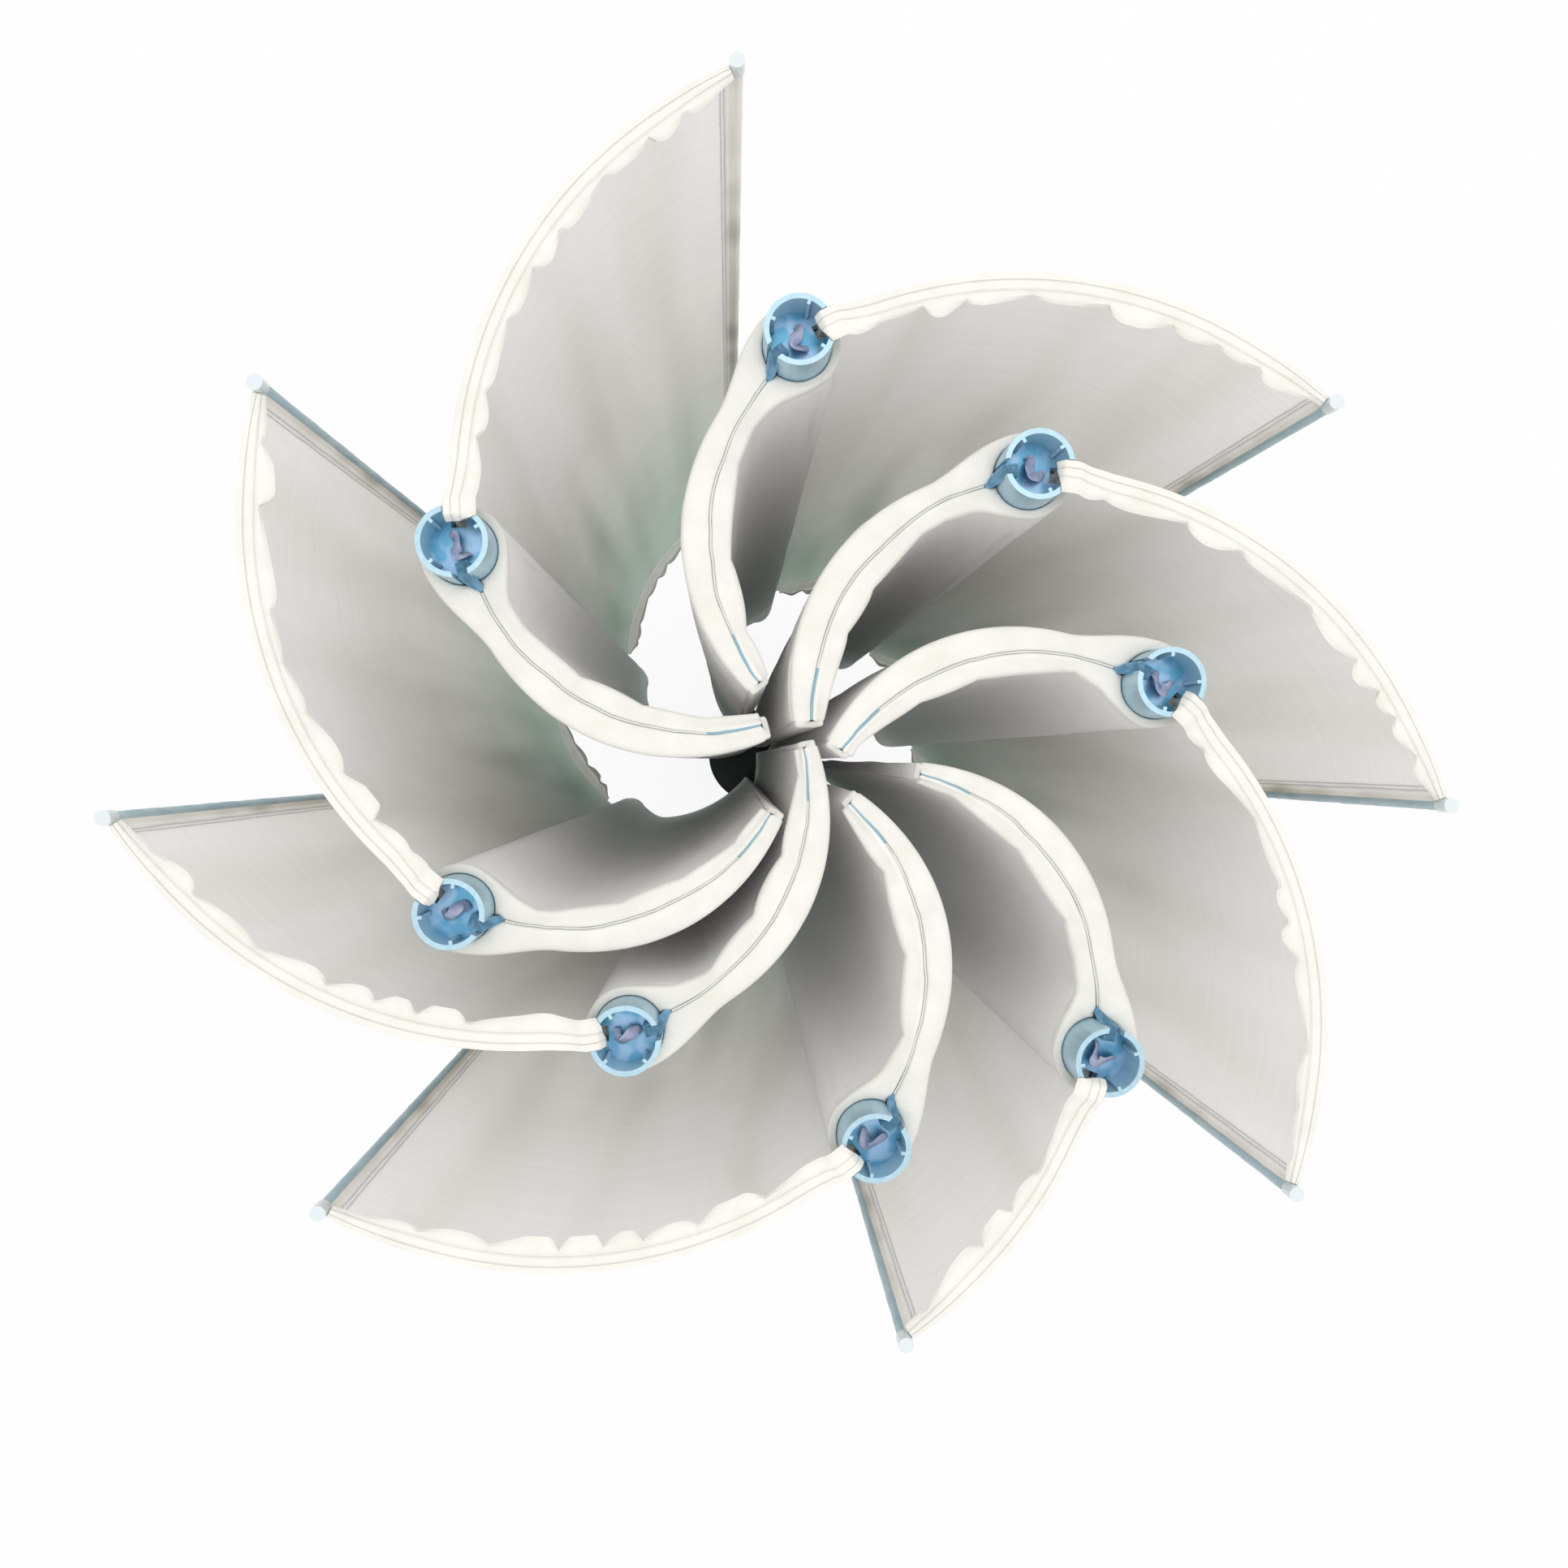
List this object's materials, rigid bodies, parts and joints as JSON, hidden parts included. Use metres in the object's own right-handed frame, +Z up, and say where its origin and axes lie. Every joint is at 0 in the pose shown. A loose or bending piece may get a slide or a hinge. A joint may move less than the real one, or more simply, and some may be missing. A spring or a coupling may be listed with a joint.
{
  "type": "vertical axis turbine",
  "caption": "Vertical axis wind turbine: slotted masts on curved foot arms carry padded inner sails and swinging outer sails above a ring generator with a bolting flange.",
  "frame": {"origin": "on the turning axis, in the underside of the base flange", "axes": "+Z up along the turning axis; +X toward the cable gland"},
  "size_m": [0.9584, 0.911, 1.6],
  "materials": {
    "mast_alloy": "pale blue anodised",
    "dark_paint": "satin charcoal powder coat",
    "cream_cloth": "padded woven cloth",
    "grey_cloth": "ripstop sailcloth",
    "blue_cloth": "coated cloth",
    "rod_composite": "slate blue composite with pale caps",
    "plain_alloy": "machined",
    "bright_steel": "zinc plated or ground",
    "magnet_plate": "nickel plated",
    "cast_alloy": "cast and painted",
    "laminations": "stacked laminations",
    "copper_wire": "enamelled copper",
    "black_plastic": "moulded nylon",
    "seal_rubber": "moulded"
  },
  "bodies": {
    "base": {"base_flange": "dark_paint", "generator_housing": "cast_alloy", "generator_cover": "cast_alloy", "stator_core": "laminations", "stator_coils": "copper_wire", "cable_gland": "black_plastic", "shaft_seal": "seal_rubber", "bearing_outer_rings": "bright_steel", "tie_screws": "bright_steel"},
    "rotor": {"mast_1": "mast_alloy", "mast_2": "mast_alloy", "mast_3": "mast_alloy", "mast_4": "mast_alloy", "mast_5": "mast_alloy", "mast_6": "mast_alloy", "mast_7": "mast_alloy", "mast_8": "mast_alloy", "arm_1": "dark_paint", "arm_2": "dark_paint", "arm_3": "dark_paint", "arm_4": "dark_paint", "arm_5": "dark_paint", "arm_6": "dark_paint", "arm_7": "dark_paint", "arm_8": "dark_paint", "inner_sail_1": "cream_cloth", "inner_sail_2": "cream_cloth", "inner_sail_3": "cream_cloth", "inner_sail_4": "cream_cloth", "inner_sail_5": "cream_cloth", "inner_sail_6": "cream_cloth", "inner_sail_7": "cream_cloth", "inner_sail_8": "cream_cloth", "inner_webs": "blue_cloth", "mast_plugs": "mast_alloy", "mast_bolts": "bright_steel", "arm_bolts": "bright_steel", "hub_screws": "bright_steel", "hub_plate": "dark_paint", "rotor_shaft": "bright_steel", "magnet_drum": "bright_steel", "rotor_magnets": "magnet_plate", "bearing_inner_rings": "bright_steel", "bearing_balls": "bright_steel"},
    "sail_1": {"outer_sail_1": "grey_cloth", "tip_rod_1": "rod_composite"},
    "sail_2": {"outer_sail_2": "grey_cloth", "tip_rod_2": "rod_composite"},
    "sail_3": {"outer_sail_3": "grey_cloth", "tip_rod_3": "rod_composite"},
    "sail_4": {"outer_sail_4": "grey_cloth", "tip_rod_4": "rod_composite"},
    "sail_5": {"outer_sail_5": "grey_cloth", "tip_rod_5": "rod_composite"},
    "sail_6": {"outer_sail_6": "grey_cloth", "tip_rod_6": "rod_composite"},
    "sail_7": {"outer_sail_7": "grey_cloth", "tip_rod_7": "rod_composite"},
    "sail_8": {"outer_sail_8": "grey_cloth", "tip_rod_8": "rod_composite"}
  },
  "joints": [
    {"name": "rotor_spin", "type": "hinge", "parent": "base", "child": "rotor", "pos_m": [0, 0, 0.1], "axis": [0, 0, 1], "continuous": true},
    {"name": "sail_swing_1", "type": "hinge", "parent": "rotor", "child": "sail_1", "pos_m": [-0.24086, 0.16031, 0.3], "axis": [0, 0, 1], "range_deg": [-8, 8]},
    {"name": "sail_swing_2", "type": "hinge", "parent": "rotor", "child": "sail_2", "pos_m": [0.01423, 0.30061, 0.3], "axis": [0, 0, 1], "range_deg": [-7, 9]},
    {"name": "sail_swing_3", "type": "hinge", "parent": "rotor", "child": "sail_3", "pos_m": [0.18572, 0.20055, 0.3], "axis": [0, 0, 1], "range_deg": [-9, 7]},
    {"name": "sail_swing_4", "type": "hinge", "parent": "rotor", "child": "sail_4", "pos_m": [0.27735, 0.03831, 0.3], "axis": [0, 0, 1], "range_deg": [-8, 8]},
    {"name": "sail_swing_5", "type": "hinge", "parent": "rotor", "child": "sail_5", "pos_m": [0.21647, -0.2376, 0.3], "axis": [0, 0, 1], "range_deg": [-15, 1]},
    {"name": "sail_swing_6", "type": "hinge", "parent": "rotor", "child": "sail_6", "pos_m": [0.04207, -0.2917, 0.3], "axis": [0, 0, 1], "range_deg": [-10, 6]},
    {"name": "sail_swing_7", "type": "hinge", "parent": "rotor", "child": "sail_7", "pos_m": [-0.13819, -0.20405, 0.3], "axis": [0, 0, 1], "range_deg": [-15, 1]},
    {"name": "sail_swing_8", "type": "hinge", "parent": "rotor", "child": "sail_8", "pos_m": [-0.2566, -0.10396, 0.3], "axis": [0, 0, 1], "range_deg": [-8, 8]}
  ]
}
